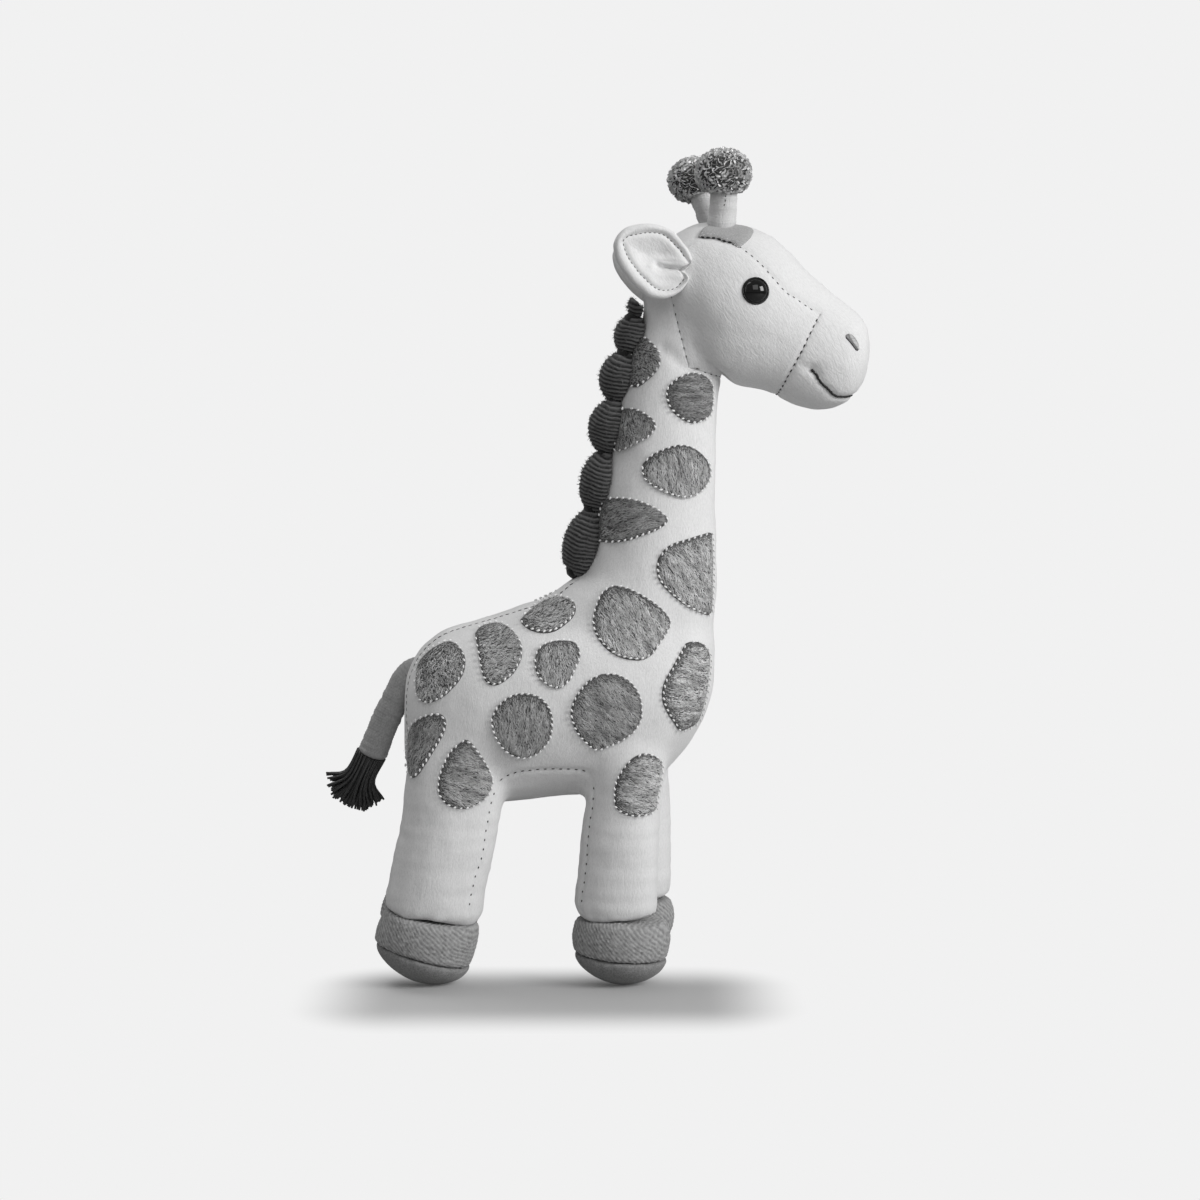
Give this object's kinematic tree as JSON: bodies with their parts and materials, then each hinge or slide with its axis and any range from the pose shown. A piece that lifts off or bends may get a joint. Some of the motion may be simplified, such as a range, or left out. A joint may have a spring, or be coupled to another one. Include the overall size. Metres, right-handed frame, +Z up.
{
  "type": "plush giraffe",
  "caption": "Stuffed standing giraffe soft toy with a long neck, chenille mane lobes, knobbed horns, cupped ears, sewn-on spots, hooves and a yarn tail tassel.",
  "frame": {"origin": "on the floor, under the middle of the overall box", "axes": "+X the way the giraffe faces, +Y its left side, +Z up"},
  "size_m": [0.2182, 0.0779, 0.3278],
  "materials": {
    "body_plush": "short pile velour",
    "spot_plush": "brushed pile",
    "hoof_plush": "textured pile",
    "sole_suede": "suede cloth",
    "ball_boucle": "looped boucle",
    "mane_chenille": "corded chenille",
    "tassel_yarn": "yarn",
    "eye_plastic": "gloss",
    "washer_plastic": "matte"
  },
  "bodies": {
    "torso": {"torso": "body_plush", "belly_panel": "body_plush", "neck": "body_plush", "leg_front_right": "body_plush", "hoof_front_right": "hoof_plush", "sole_front_right": "sole_suede", "leg_front_left": "body_plush", "hoof_front_left": "hoof_plush", "sole_front_left": "sole_suede", "leg_hind_right": "body_plush", "hoof_hind_right": "hoof_plush", "sole_hind_right": "sole_suede", "leg_hind_left": "body_plush", "hoof_hind_left": "hoof_plush", "sole_hind_left": "sole_suede", "mane_lobe_1": "mane_chenille", "mane_lobe_2": "mane_chenille", "mane_lobe_3": "mane_chenille", "mane_lobe_4": "mane_chenille", "mane_lobe_5": "mane_chenille", "mane_lobe_6": "mane_chenille", "spot_rump_right": "spot_plush", "spot_rump_left": "spot_plush", "spot_back_right": "spot_plush", "spot_back_left": "spot_plush", "spot_flank_right": "spot_plush", "spot_flank_left": "spot_plush", "spot_ribs_right": "spot_plush", "spot_ribs_left": "spot_plush", "spot_shoulder_right": "spot_plush", "spot_shoulder_left": "spot_plush", "spot_chest_right": "spot_plush", "spot_chest_left": "spot_plush", "spot_thigh_right": "spot_plush", "spot_thigh_left": "spot_plush", "spot_neck_low_right": "spot_plush", "spot_neck_low_left": "spot_plush", "spot_neck_middle_right": "spot_plush", "spot_neck_middle_left": "spot_plush", "spot_neck_high_right": "spot_plush", "spot_neck_high_left": "spot_plush"},
    "head": {"head": "body_plush", "muzzle": "body_plush", "eye_right": "eye_plastic", "eye_left": "eye_plastic", "eye_washer_right": "washer_plastic", "eye_washer_left": "washer_plastic", "nostril_right": "hoof_plush", "nostril_left": "hoof_plush", "crown_patch": "spot_plush"},
    "ear_right": {"ear_right": "body_plush"},
    "ear_left": {"ear_left": "body_plush"},
    "horn_right": {"horn_stem_right": "body_plush", "horn_ball_right": "ball_boucle"},
    "horn_left": {"horn_stem_left": "body_plush", "horn_ball_left": "ball_boucle"},
    "tail": {"tail": "body_plush"},
    "tassel": {"tassel": "tassel_yarn"}
  },
  "joints": [
    {"name": "head_nod", "type": "hinge", "parent": "torso", "child": "head", "pos_m": [0.0356, 0, 0.262], "axis": [0, 1, 0], "range_deg": [-12, 12], "stiffness_Nm_per_rad": 0.35},
    {"name": "ear_fold_right", "type": "hinge", "parent": "head", "child": "ear_right", "pos_m": [0.03582, -0.02226, 0.27924], "axis": [0, 0, 1], "range_deg": [-12, 25], "stiffness_Nm_per_rad": 0.01},
    {"name": "ear_fold_left", "type": "hinge", "parent": "head", "child": "ear_left", "pos_m": [0.03582, 0.02226, 0.27924], "axis": [0, 0, -1], "range_deg": [-12, 25], "stiffness_Nm_per_rad": 0.01},
    {"name": "horn_lean_right", "type": "hinge", "parent": "head", "child": "horn_right", "pos_m": [0.04944, -0.009, 0.29663], "axis": [0, 1, 0], "range_deg": [-15, 15], "stiffness_Nm_per_rad": 0.05},
    {"name": "horn_lean_left", "type": "hinge", "parent": "head", "child": "horn_left", "pos_m": [0.04524, 0.009, 0.29592], "axis": [0, 1, 0], "range_deg": [-15, 15], "stiffness_Nm_per_rad": 0.05},
    {"name": "tail_lift", "type": "hinge", "parent": "torso", "child": "tail", "pos_m": [-0.07412, 0, 0.12419], "axis": [0, 1, 0], "range_deg": [0, 70], "stiffness_Nm_per_rad": 0.02},
    {"name": "tassel_swing", "type": "hinge", "parent": "tail", "child": "tassel", "pos_m": [-0.08923, 0, 0.08843], "axis": [0, 1, 0], "range_deg": [-20, 20], "stiffness_Nm_per_rad": 0.006}
  ]
}
